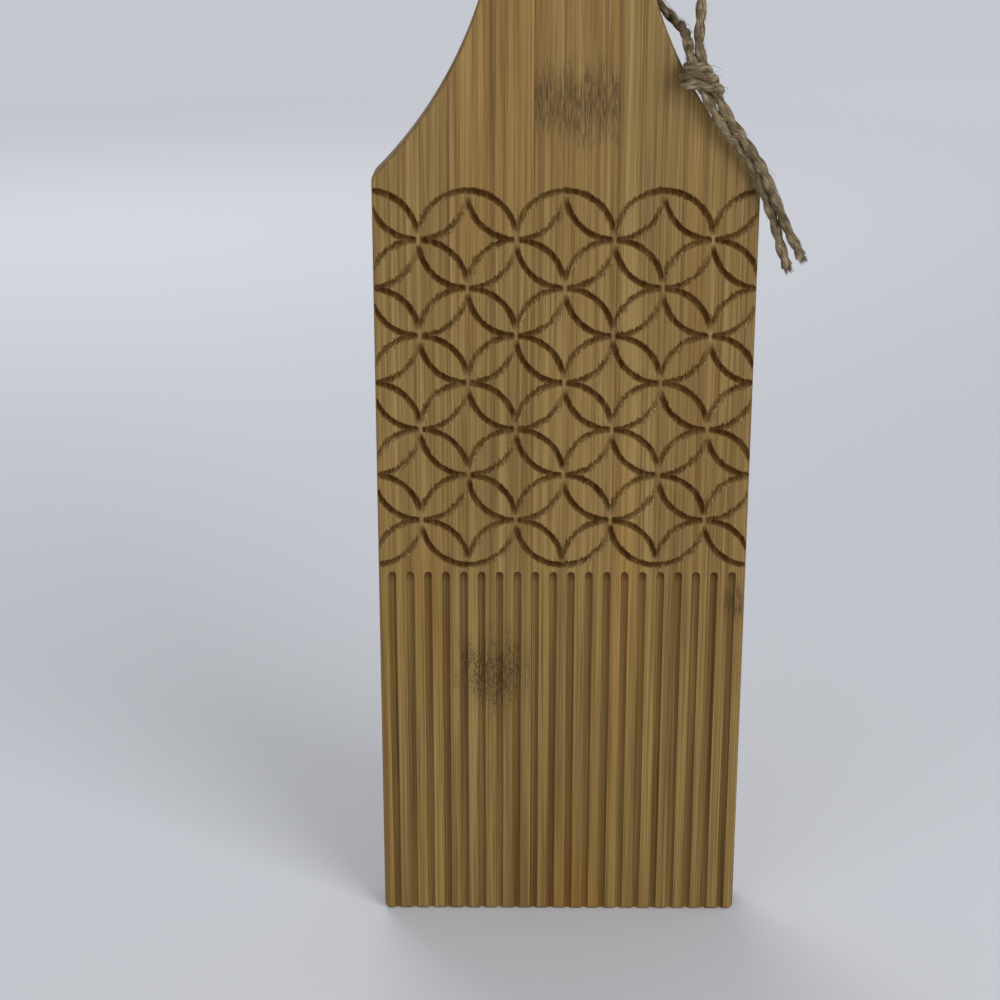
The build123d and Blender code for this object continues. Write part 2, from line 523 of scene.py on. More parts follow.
@dataclass(frozen=True)
class BambooFinish:
    """Oiled and sanded bamboo, with the glue lines round a strip."""

    grain: Grain
    glue_sides: tuple
    glue_planes: tuple = (-0.0025, 0.0025)
    glue_limits: tuple = (0.00016, 0.000032)
    glue_colour: tuple = (0.55, 0.48, 0.42)
    shades: tuple = ((0.34, (0.112, 0.060, 0.0125)), (0.45, (0.174, 0.104, 0.0255)),
                     (0.53, (0.222, 0.140, 0.0390)), (0.66, (0.290, 0.195, 0.0660)))
    warm_shift: tuple = (0.05, -0.03, -0.12)
    broad: Pattern = Pattern((150, 150, 3.5))
    broad_share: float = 0.32
    streaks: Pattern = Pattern((1050, 1050, 9), 3.0, 5, 0.68)
    fibres: Pattern = Pattern((2900, 2900, 17), 2.0, 7, 0.7)
    # Limits, share and colour of the dark bundles and of the pale fibres
    fibre_layers: tuple = (((0.51, 0.66), 0.60, (0.090, 0.047, 0.009)),
                           ((0.44, 0.30), 0.42, (0.330, 0.230, 0.090)))
    amber: Pattern = Pattern((46, 46, 9), 1.0, 9)
    amber_limits: tuple = (0.46, 0.70)
    amber_colour: tuple = (1.04, 0.88, 0.62)
    amber_share: tuple = (0.5, 1.0)
    end_share: float = 0.8
    end_colour: tuple = (0.135, 0.080, 0.021)
    splinters: Pattern = Pattern((4200, 4200, 900), 2.0, 3)
    splinter_limits: tuple = (0.42, 0.52)
    # Burnt colour of the carved circles, also the colour that the painted shade in the grooves darkens
    # towards
    scorch_and_shade_colour: tuple = (0.050, 0.0200, 0.0046)
    torn_colour: tuple = (0.440, 0.310, 0.140)
    # Change in the cut, then the value on the face
    specular: tuple = (-0.27, 0.3)
    roughness: tuple = (0.35, 0.5)
    # Depth and share
    relief: tuple = (0.00012, 0.5)
    ragged: Pattern = Pattern((420, 420, 90), 3.0, 2)
    raggedness: float = 1.3
    knuckle_limits: tuple = (1.75, 0.85)
    fleck_crowding: float = 0.13
    fleck_limits: tuple = (0.55, 0.68)
    # Darkness that a fleck adds, then the stain between flecks
    fleck_dark: tuple = (0.68, 0.16)
    knuckle_colour: tuple = (0.058, 0.026, 0.0055)

    def material(self) -> bpy.types.Material:
        """Make the material.

        Returns:
            The material.
        """
        shader = Shader(bpy.data.materials.new("bamboo_" + self.grain.node))
        fibres = shader.noise(self.fibres, self.grain.seed)
        splinters = shader.noise(self.splinters, self.grain.seed)
        cut, torn = shader.attribute("cut"), shader.attribute("torn")
        wood = shader.mix("MULTIPLY", self._glue(shader), self._wood(shader, fibres), self.glue_colour)
        # Carving darkened by the cut attribute: burn in the circles, painted shade in the grooves
        scorched_and_shaded = shader.mix("MIX", cut, wood, self.scorch_and_shade_colour)
        lifted = shader.math("MULTIPLY", torn, shader.eased(splinters, *self.splinter_limits))
        height = shader.math("MULTIPLY_ADD", splinters, torn, fibres)
        return shader.finished(
            Base_Color=shader.mix("MIX", lifted, scorched_and_shaded, self.torn_colour),
            Specular_IOR_Level=shader.math("MULTIPLY_ADD", cut, *self.specular),
            Roughness=shader.math("MULTIPLY_ADD", cut, *self.roughness),
            Normal=shader.bump(height, *self.relief),
        )

    def _toned(self, colour: tuple) -> tuple:
        """Colour in the tone and the warmth of the strip."""
        warmth = [self.grain.tone * (1 + self.grain.warmth * shift) for shift in self.warm_shift]
        return tuple(part * change for part, change in zip(colour, warmth))

    def _wood(self, shader: Shader, fibres: Value) -> Socket:
        """Colour of the bamboo itself.

        Args:
            shader: Shader that it goes into.
            fibres: Socket of the finest fibres.

        Returns:
            Socket of the colour.
        """
        grain = self.grain
        streaks = shader.math("MULTIPLY", shader.noise(self.streaks, grain.seed), 1 - self.broad_share)
        broad = shader.noise(self.broad, grain.seed)
        both = shader.math("MULTIPLY_ADD", broad, self.broad_share, streaks)
        colour = shader.ramp(both, [(stop, self._toned(shade)) for stop, shade in self.shades])
        ends = shader.math("MULTIPLY", shader.attribute("end_grain"), self.end_share)
        colour = shader.mix("MIX", ends, colour, self._toned(self.end_colour))
        amber = shader.eased(shader.noise(self.amber, grain.seed), *self.amber_limits)
        amber = shader.math("MULTIPLY", amber, between(self.amber_share, grain.warmth))
        colour = shader.mix("MULTIPLY", amber, colour, self.amber_colour)
        for limits, share, layer in self.fibre_layers:
            cover = shader.math("MULTIPLY", shader.eased(fibres, *limits), share)
            colour = shader.mix("MIX", cover, colour, self._toned(layer))
        for number, knuckle in enumerate(grain.knuckles):
            colour = self._knuckle(shader, colour, knuckle, grain.seed + number)
        return colour

    def _knuckle(self, shader: Shader, colour: Value, knuckle: Knuckle, seed: float) -> Socket:
        """Add the flecks of one knuckle.

        Args:
            shader: Shader that they go into.
            colour: Socket of the colour so far.
            knuckle: The knuckle.
            seed: Seed of its flecks.

        Returns:
            Socket of the colour.
        """
        scale = (1 / knuckle.half_width, 0.0, 1 / knuckle.half_height)
        middle = (-knuckle.across * scale[0], 0.0, -knuckle.height * scale[2])
        centred = shader.node("ShaderNodeMapping", Vector=shader.place, Scale=scale, Location=middle)
        away = shader.reach(centred.outputs[0])
        ragged = shader.noise(self.ragged, seed)
        away = shader.math("MULTIPLY_ADD", ragged, self.raggedness, away)
        inside = shader.eased(away, *self.knuckle_limits)
        flecks = shader.noise(knuckle.flecks, seed)
        flecks = shader.math("MULTIPLY_ADD", inside, self.fleck_crowding, flecks)
        flecks = shader.eased(flecks, *self.fleck_limits)
        dark = shader.math("MULTIPLY_ADD", flecks, *self.fleck_dark)
        for share in (inside, knuckle.strength):
            dark = shader.math("MULTIPLY", dark, share)
        return shader.mix("MIX", dark, colour, self.knuckle_colour)

    def _glue(self, shader: Shader) -> Socket:
        """How near a glue line is.

        Args:
            shader: Shader that it goes into.

        Returns:
            Socket that is 1 in the line and 0 away from it.
        """
        across, through, _ = shader.axes(shader.place)
        nearest = None
        for axis, lines in ((across, self.glue_sides), (through, self.glue_planes)):
            for line in lines:
                away = shader.math("ABSOLUTE", shader.math("SUBTRACT", axis, line))
                nearest = shader.math("MINIMUM", nearest, away) if nearest else away
        return shader.eased(nearest, *self.glue_limits)


@dataclass(frozen=True)
class JuteFinish:
    """Jute fibre, on the own coordinates of each ply of twine."""

    shades: tuple = ((0.36, (0.036, 0.024, 0.011)), (0.46, (0.112, 0.080, 0.043)),
                     (0.54, (0.215, 0.162, 0.095)), (0.66, (0.430, 0.350, 0.225)))
    fibre_turn: float = 0.011
    fibres: Pattern = Pattern((3.4, 3.4, 150), 3.0, 2.0, 0.75)
    patches: Pattern = Pattern((330, 330, 330), 2.0, 5.0)
    patch_share: float = 0.35
    roughness: float = 0.92
    specular: float = 0.2
    relief: tuple = (0.00025, 0.8)

    def material(self) -> bpy.types.Material:
        """Make the material.

        Returns:
            The material.
        """
        shader = Shader(bpy.data.materials.new("jute_fibre"))
        along, around, _ = shader.axes(shader.node("ShaderNodeUVMap", {"uv_map": "UVMap"}).outputs[0])
        turned = shader.math("MULTIPLY", around, FULL_TURN)
        turned = shader.math("MULTIPLY_ADD", along, FULL_TURN / self.fibre_turn, turned)
        ring = shader.node("ShaderNodeCombineXYZ", X=shader.math("COSINE", turned),
                           Y=shader.math("SINE", turned), Z=along).outputs[0]
        fibres = shader.noise(self.fibres, 0.0, ring)
        both = shader.math("MULTIPLY", fibres, 1 - self.patch_share)
        patches = shader.noise(self.patches, 0.0)
        both = shader.math("MULTIPLY_ADD", patches, self.patch_share, both)
        return shader.finished(
            Base_Color=shader.ramp(both, self.shades), Roughness=self.roughness,
            Specular_IOR_Level=self.specular, Normal=shader.bump(fibres, *self.relief),
        )


@dataclass(frozen=True)
class FloorPaint:
    """Plain pale paint, as pale far away as it is under the lamps."""

    colour: tuple = (0.66, 0.67, 0.71)
    roughness: float = 0.9
    lift: float = 0.45
    lift_start: float = 0.35
    lift_end: float = 2.6

    def material(self) -> bpy.types.Material:
        """Make the material.

        Returns:
            The material.
        """
        shader = Shader(bpy.data.materials.new("floor_paint"))
        far = shader.eased(shader.reach(shader.place), self.lift_start, self.lift_end)
        glow = shader.math("MULTIPLY", shader.math("MULTIPLY", far, self.lift), shader.camera_ray())
        return shader.finished(Base_Color=self.colour, Roughness=self.roughness,
                               Emission_Color=self.colour, Emission_Strength=glow)


@dataclass
class Blank:
    """The board before it is carved: outline, rounded edges and hanging hole."""

    length: float = 0.350
    width: float = 0.110
    thickness: float = 0.015
    handle_length: float = 0.1185
    handle_straight: float = 0.0138
    handle_width: float = 0.0368
    shoulder_corner_radius: float = 0.003
    end_corner_radius: float = 0.002
    edge_rounding: float = 0.0012
    hole_radius: float = 0.0055
    hole_rounding: float = 0.0010
    rounding_steps: int = 5
    corner_steps: int = 8
    hollow_steps: int = 48
    handle_steps: int = 24
    hole_steps: int = 64

    def __post_init__(self) -> None:
        """Work out the places that follow from the sizes."""
        self.half_width = self.width / 2
        self.half_handle = self.handle_width / 2
        self.front = -self.thickness / 2
        self.body_length = self.length - self.handle_length
        self.hole_height = self.length - self.half_handle
        self.mesh = self._mesh()

    def _outline(self) -> list:
        """Right half of the outline, from the lower corner to the handle's round end.

        Returns:
            The points.
        """
        reach = self.half_width - self.half_handle
        rise = self.hole_height - self.handle_straight - self.body_length
        radius = (reach**2 + rise**2) / (2 * reach)
        hollow = (self.half_handle + radius, self.body_length + rise)
        corner = self.shoulder_corner_radius
        corner_x = self.half_width - corner
        drop = math.sqrt((radius + corner) ** 2 - (hollow[0] - corner_x) ** 2)
        turn = math.degrees(math.atan2(drop, hollow[0] - corner_x))
        end = self.end_corner_radius
        return (
            arc_points((self.half_width - end, end), end, -90, 0, self.corner_steps)
            + arc_points((corner_x, hollow[1] - drop), corner, 0, turn, self.corner_steps)
            + arc_points(hollow, radius, 180 + turn, 180, self.hollow_steps)[1:]
            + arc_points((0.0, self.hole_height), self.half_handle, 0, 90, self.handle_steps)
        )

    def _mesh(self) -> Mesh:
        """Extrude the outline, round its edges and drill the hole.

        Returns:
            The mesh.
        """
        right = self._outline()
        around = right + [Vector((-point.x, point.y)) for point in reversed(right[:-1])]
        bm = bmesh.new()
        face = bm.faces.new([bm.verts.new((point.x, self.front, point.y)) for point in around])
        back = bmesh.ops.extrude_face_region(bm, geom=[face])["geom"]
        moved = [item for item in back if isinstance(item, bmesh.types.BMVert)]
        bmesh.ops.translate(bm, vec=(0.0, self.thickness, 0.0), verts=moved)
        rims = [edge for edge in bm.edges if abs(edge.verts[0].co.y - edge.verts[1].co.y) < NEAR]
        bmesh.ops.bevel(
            bm, geom=rims, offset=self.edge_rounding, segments=self.rounding_steps,
            profile=0.5, affect="EDGES", material=-1, clamp_overlap=False,
        )
        return combined(finished_mesh("blank", bm), self._drill(), Solver.DIFFERENCE)

    def _drill(self) -> Mesh:
        """Drill that also rounds the rims of the hole.

        Returns:
            The mesh.
        """
        rounding = self.hole_rounding
        half = [(self.hole_radius + 2 * rounding, self.front - rounding)]
        for step in range(self.rounding_steps + 1):
            angle = math.radians(90 * step / self.rounding_steps)
            flare = rounding * (1 - math.sin(angle))
            half.append((self.hole_radius + flare, self.front + rounding * (1 - math.cos(angle))))
        profile = half + [(radius, -y) for radius, y in reversed(half)]
        profile = [(0.0, profile[0][1])] + profile + [(0.0, profile[-1][1])]
        bm = bmesh.new()
        verts = [bm.verts.new((radius, y, self.hole_height)) for radius, y in profile]
        edges = [bm.edges.new(pair) for pair in zip(verts, verts[1:])]
        bmesh.ops.spin(
            bm, geom=verts + edges, cent=(0.0, 0.0, self.hole_height), axis=(0.0, 1.0, 0.0),
            angle=FULL_TURN, steps=self.hole_steps, use_merge=True,
        )
        bmesh.ops.remove_doubles(bm, verts=bm.verts, dist=NEAR)
        return finished_mesh("drill", bm)


@dataclass
class Carving:
    """Straight grooves and overlapping circles, anywhere on the front."""

    blank: Blank
    groove_count: int = 20
    groove_side_distance: float = 0.0041
    groove_width: float = 0.0022
    groove_deep: float = 0.0016
    groove_rim: float = 0.00008
    groove_dark: float = 0.04
    # Painted shade that deepens towards the groove's floor
    groove_floor_painted_shade: float = 0.03
    groove_streak: float = 0.05
    groove_streak_noise: tuple = ((0.0007, 0.03), 5)
    # Painted shade on the right-hand wall of each groove, and the span across the groove where it
    # falls
    groove_right_painted_shade: float = 0.02
    groove_right_shade_share: tuple = (-0.25, 0.7)
    # Painted shadow of the top end wall, and how far below the top end it reaches
    groove_end_painted_shadow: float = 0.46
    groove_end_shadow_reach: tuple = (0.0040, 0.0010)
    circle_radius: float = 0.014
    circle_rows: int = 8
    line_width: float = 0.0022
    line_deep: float = 0.0010
    shoulder_margin: float = 0.0038
    groove_margin: float = 0.0023
    # Cells and seeds of the torn fibres, the finer ones, the width and the scorch
    line_noises: tuple = (((0.00032, 0.0016), 11), ((0.00022, 0.0007), 12),
                          ((0.0021, 0.0034), 13), ((0.0008, 0.0030), 14))
    fine_share: float = 0.6
    # First seed of the circles, and the step of a column and of a row
    circle_seeds: tuple = (40, 7, 61)
    # Least and most of each quarter's own luck
    line_start: tuple = (0.0003, 0.0012)
    line_fade: tuple = (0.0022, 0.0046)
    late_fade: float = 0.0050
    land: tuple = (0.0001, 0.0011)
    level: tuple = (0.0105, 0.0040)
    level_calm: float = 0.6
    rough_narrow: float = 0.02
    rough_shallow: float = 0.35
    rough_pale: float = 0.34
    shallow_start: float = 0.3
    width_wander: float = 0.10
    width_splinter: float = 0.17
    rough_splinter: float = 0.35
    pit_limits: tuple = (-0.35, 0.25)
    pit_reach: tuple = (0.0017, 0.0008)
    pit_deep: float = 0.00014
    pit_dark: float = 0.40
    rim_dark: float = 0.42
    core_dark: float = 0.46
    core_share: float = 0.60
    burn_share: float = 0.18

    def __post_init__(self) -> None:
        """Work out the places that follow from the sizes."""
        span = self.blank.width - 2 * self.groove_side_distance
        self.pitch = span / (self.groove_count - 1)
        self.first_groove = -span / 2
        self.top = self.blank.body_length - self.shoulder_margin
        self.bottom = self.top - self.circle_rows * self.circle_radius
        self.groove_top = self.bottom - self.groove_margin
        columns = math.ceil(self.blank.half_width / self.circle_radius)
        self.centres = [
            (column * self.circle_radius, self.top - row * self.circle_radius)
            for column in range(-columns, columns + 1)
            for row in range(self.circle_rows + 1)
            if (column + row) % 2
        ]

    def grooves(self, x: Array, z: Array) -> tuple:
        """Straight grooves, round at the bottom and at the top end.

        Args:
            x: Places across.
            z: Places up.

        Returns:
            Depth and darkness at each place: a light tint and streaks of the cut fibres, painted shade
                towards the floor and on the right-hand wall, and a painted shadow under the top end.
        """
        radius = self.groove_width / 2
        nearest = np.round((x - self.first_groove) / self.pitch)
        nearest = np.clip(nearest, 0, self.groove_count - 1)
        across = x - (self.first_groove + nearest * self.pitch)
        past = np.maximum(0.0, z - (self.groove_top - radius))
        distance = np.hypot(across, past)
        bowl = np.sqrt(np.maximum(0.0, radius**2 - distance**2))
        wall = 1 - smooth_step(radius - self.groove_rim, radius + self.groove_rim, distance)
        depth = (self.groove_deep - radius) * wall + bowl
        # A light tint of the cut fibres, and painted shade that deepens towards the floor
        dark = self.groove_dark + self.groove_floor_painted_shade * (depth / self.groove_deep) ** 2
        dark += self.groove_streak * lattice_noise(x, z, *self.groove_streak_noise)
        # Painted shade on the right-hand wall, the side turned away from the key light
        dark += self.groove_right_painted_shade * smooth_step(*self.groove_right_shade_share, across / radius)
        # Painted shadow that the top end wall casts on the groove floor below it
        dark += self.groove_end_painted_shadow * smooth_step(*self.groove_end_shadow_reach, self.groove_top - z)
        return depth, dark * (depth > NEAR)

    def circles(self, x: Array, z: Array) -> tuple:
        """Carved circles, ragged and torn where they run across the fibres' rise.

        Args:
            x: Places across.
            z: Places up.

        Returns:
            Depth, darkness and share of torn fibres at each place.
        """
        whole = [np.zeros_like(x) for _ in range(3)]
        noises = [lattice_noise(x, z, *noise) for noise in self.line_noises]
        reach = self.circle_radius + self.line_width
        in_band = (z < self.top + self.line_width) & (z > self.bottom - self.line_width)
        for centre in self.centres:
            near = (np.abs(x - centre[0]) < reach) & (np.abs(z - centre[1]) < reach) & in_band
            if near.any():
                parts = self._circle(centre, x[near], z[near], [noise[near] for noise in noises])
                deeper = parts[0] > whole[0][near]
                for values, part in zip(whole, parts):
                    values[near] = np.where(deeper, part, values[near])
        return tuple(whole)

    def _circle(self, centre: tuple, x: Array, z: Array, noises: list) -> tuple:
        """Carved line of one circle, a quarter at a time with its own start and fade.

        Args:
            centre: Its centre, across and up.
            x: Places across.
            z: Places up.
            noises: Unevenness of the torn fibres, the finer ones, the width and the scorch.

        Returns:
            Depth, darkness and share of torn fibres at each place.
        """
        splinter, fine, wander, burn = noises
        splinter = splinter + self.fine_share * fine
        radius = self.circle_radius
        half = self.line_width / 2
        x = x - centre[0]
        z = z - centre[1]
        off = np.hypot(x, z) - radius
        turn = np.mod(np.arctan2(z, x), np.pi)
        to_level = np.abs(turn - np.pi / 2) * radius
        to_upright = np.minimum(turn, np.pi - turn) * radius
        places = (1, round(centre[0] / radius), round(centre[1] / radius))
        seed = sum(step * place for step, place in zip(self.circle_seeds, places))
        start_luck, fade_luck = np.random.default_rng(seed).uniform(0.0, 1.0, (2, 4))
        quarter = (2 * (x > 0) + (z > 0)).astype(int)
        start = between(self.line_start, start_luck[quarter])
        fade = between(self.line_fade, fade_luck[quarter])
        fade = np.where((x > 0) & (z < 0), fade + self.late_fade, fade)
        ends = smooth_step(0.0, 1.0, (to_upright - start) / fade)
        runs_on = (abs(centre[1] + radius - self.top) < NEAR) & (z > 0)
        runs_on |= (abs(centre[1] - radius - self.bottom) < NEAR) & (z < 0)
        ends *= np.where(runs_on, 1.0, smooth_step(*self.land, to_level))
        middle_x = centre[0] + np.sign(x) * radius / 2
        middle_z = centre[1] + np.sign(z) * radius / 2
        inside = (middle_z < self.top) & (middle_z > self.bottom)
        inside &= np.abs(middle_x) < self.blank.half_width + radius / 2
        rising = (x * z < 0).astype(float)
        rough = rising * (1 - self.level_calm * smooth_step(*self.level, to_level))
        width = half * (1.0 - self.rough_narrow * rough + self.width_wander * wander)
        width *= 1 + (self.width_splinter + self.rough_splinter * rough) * splinter
        share = np.clip(1 - np.abs(off) / width, 0.0, 1.0)
        depth = share * width / half * self.line_deep * ends * inside
        depth *= 1 - self.rough_shallow * rough * np.clip(splinter + self.shallow_start, 0, 1)
        low_side = off * np.where(x > 0, 1.0, -1.0) * rising
        pits = smooth_step(*self.pit_limits, splinter) * smooth_step(*self.pit_reach, low_side)
        pits *= (low_side > 0) * rough * inside * np.clip(ends, 0, 1)
        dark = self.rim_dark + self.core_dark * smooth_step(0.0, self.core_share, share)
        dark = (dark + self.burn_share * burn) * ends
        dark *= (share > 0) * (1 - self.rough_pale * rough) * inside
        depth = np.maximum(depth, self.pit_deep * pits)
        return depth, np.maximum(dark, self.pit_dark * pits), pits * (1 - share)

    def relief(self, x: Array, z: Array) -> tuple:
        """The whole carving.

        Args:
            x: Places across.
            z: Places up.

        Returns:
            Depth, darkness and share of torn fibres at each place.
        """
        groove, groove_dark = self.grooves(x, z)
        line, line_dark, torn = self.circles(x, z)
        in_groove = groove > line
        dark = np.where(in_groove, groove_dark, line_dark)
        return np.maximum(groove, line), dark, np.where(in_groove, 0.0, torn)


@dataclass
class Board:
    """The strips of bamboo, cut from the blank and carved."""

    blank: Blank
    carving: Carving
    fine: float = 0.00022
    groove_row: float = 0.0015
    plain_row: float = 0.006
    wall_shares: tuple = (1.0, 0.98, 0.9, 0.76, 0.58, 0.38, 0.19, 0.0)
    sunk: float = 0.00015
    sunk_edge: float = 0.0001
    beyond: float = 0.001
    sharp_degrees: float = 28
    floor_reach: float = 0.0003
    facing: float = -0.02

    def build(self, grain: Grain) -> bpy.types.Object:
        """Make one strip.

        Args:
            grain: Its node and its look.

        Returns:
            The dressed strip.
        """
        low, high = (tuple(corner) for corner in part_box(grain.node))
        if grain.ply is Ply.FRONT:
            stock = self._carved_slab(low[0], high[0], high[1])
        else:
            stock = box_mesh(
                (low[0] - self._over(low[0]), low[1] - self._over(low[1]), -self.beyond),
                (high[0] + self._over(high[0]), high[1] + self._over(high[1]),
                 self.blank.length + self.beyond),
            )
        mesh = combined(self.blank.mesh.copy(), stock, Solver.INTERSECT)
        mesh.name = grain.node + "_wood"
        strip = add_object(grain.node + "_wood", mesh)
        mesh.shade_smooth()
        mesh.set_sharp_from_angle(angle=math.radians(self.sharp_degrees))
        self._mark_carving(mesh, grain.ply)
        sides = tuple(side for side in (low[0], high[0]) if not self._over(side))
        mesh.materials.clear()
        mesh.materials.append(BambooFinish(grain, sides).material())
        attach(strip, "root")
        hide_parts(grain.node)
        return strip

    def _over(self, place: float) -> float:
        """Room beyond a strip's bound where the board ends there, or none at a glue line."""
        outer = (self.blank.half_width, self.blank.thickness / 2)
        return self.beyond if any(abs(abs(place) - bound) < NEAR for bound in outer) else 0.0

    def _lines(self, left: float, right: float) -> tuple:
        """Columns and rows of the carved surface, fine where the carving is.

        Args:
            left: Left side of the surface.
            right: Right side of the surface.

        Returns:
            Places across and places up, in order.
        """
        carving = self.carving
        radius, rim = carving.groove_width / 2, carving.groove_rim
        offsets = [radius + rim] + [(radius - rim) * share for share in self.wall_shares]
        fixed = [left, right]
        for number in range(carving.groove_count):
            groove = carving.first_groove + number * carving.pitch
            fixed += [groove + side * offset for side in (-1, 1) for offset in offsets]
        fixed = sorted({round(place, 7) for place in fixed if left <= place <= right})
        cap, above_cap = carving.groove_top - 2 * carving.groove_width, carving.groove_top + rim
        above_circles = carving.top + carving.line_width
        columns = [(start, end, self.fine) for start, end in zip(fixed, fixed[1:])]
        rows = [
            (-self.beyond, cap, self.groove_row), (cap, above_cap, self.fine / 2),
            (above_cap, above_circles, self.fine),
            (above_circles, self.blank.length + self.beyond, self.plain_row),
        ]
        return divided(columns), divided(rows)

    def _carved_slab(self, left: float, right: float, back: float) -> Mesh:
        """Slab of the front ply whose front is the carved surface.

        Args:
            left: Left glue line or side.
            right: Right glue line or side.
            back: Glue plane behind the ply.

        Returns:
            The closed mesh.
        """
        columns, rows = self._lines(left - self._over(left), right + self._over(right))
        x, z = (grid.ravel() for grid in np.meshgrid(columns, rows))
        depth = self.carving.relief(x, z)[0]
        y = self.blank.front + depth - self.sunk * smooth_step(self.sunk_edge, 0.0, depth)
        bm = bmesh.new()
        bmesh.ops.create_grid(bm, x_segments=len(columns) - 1, y_segments=len(rows) - 1, size=1.0)
        for vert, place in zip(bm.verts, zip(x.tolist(), y.tolist(), z.tolist())):
            vert.co = place
        rim = [edge for edge in bm.edges if edge.is_boundary]
        skirt = bmesh.ops.extrude_edge_only(bm, edges=rim)["geom"]
        for vert in skirt:
            if isinstance(vert, bmesh.types.BMVert):
                vert.co.y = back
        bmesh.ops.contextual_create(bm, geom=[edge for edge in bm.edges if edge.is_boundary])
        return finished_mesh("carved_slab", bm)

    def _mark_carving(self, mesh: Mesh, ply: Ply) -> None:
        """Say on the mesh how dark the carving is, from scorch in the circles and painted shade in the
        grooves, and where its fibres are torn.

        Args:
            mesh: Mesh of a strip.
            ply: Its ply.
        """
        loops = len(mesh.loops)
        cut, torn = np.zeros(loops), np.zeros(loops)
        counts = np.empty(len(mesh.polygons), dtype=np.int32)
        mesh.polygons.foreach_get("loop_total", counts)
        normals = np.empty(len(mesh.polygons) * 3)
        mesh.polygons.foreach_get("normal", normals)
        faces = np.repeat(np.arange(len(mesh.polygons)), counts)
        end_grain = np.abs(normals[2::3])[faces]
        if ply is Ply.FRONT:
            places = np.empty(len(mesh.vertices) * 3)
            mesh.vertices.foreach_get("co", places)
            x, y, z = places.reshape(-1, 3).T
            depth, dark, fibres = self.carving.relief(x, z)
            below = y - self.blank.front
            on_floor = (below > -NEAR) & (np.abs(below - depth) < self.floor_reach)
            corners = np.empty(loops, dtype=np.int32)
            mesh.loops.foreach_get("vertex_index", corners)
            all_carved = np.ones(len(mesh.polygons), dtype=bool)
            np.logical_and.at(all_carved, faces, on_floor[corners])
            carved = (all_carved & (counts <= 4) & (normals[1::3] < self.facing))[faces]
            # Darkness of the carving: scorch in the circles and painted shade in the grooves
            cut = dark[corners] * carved
            torn = fibres[corners] * carved
            end_grain = end_grain * ~carved
        for name, values in (("cut", cut), ("torn", torn), ("end_grain", end_grain)):
            layer = mesh.attributes.new(name, "FLOAT", "CORNER")
            layer.data.foreach_set("value", values.astype(np.float32))


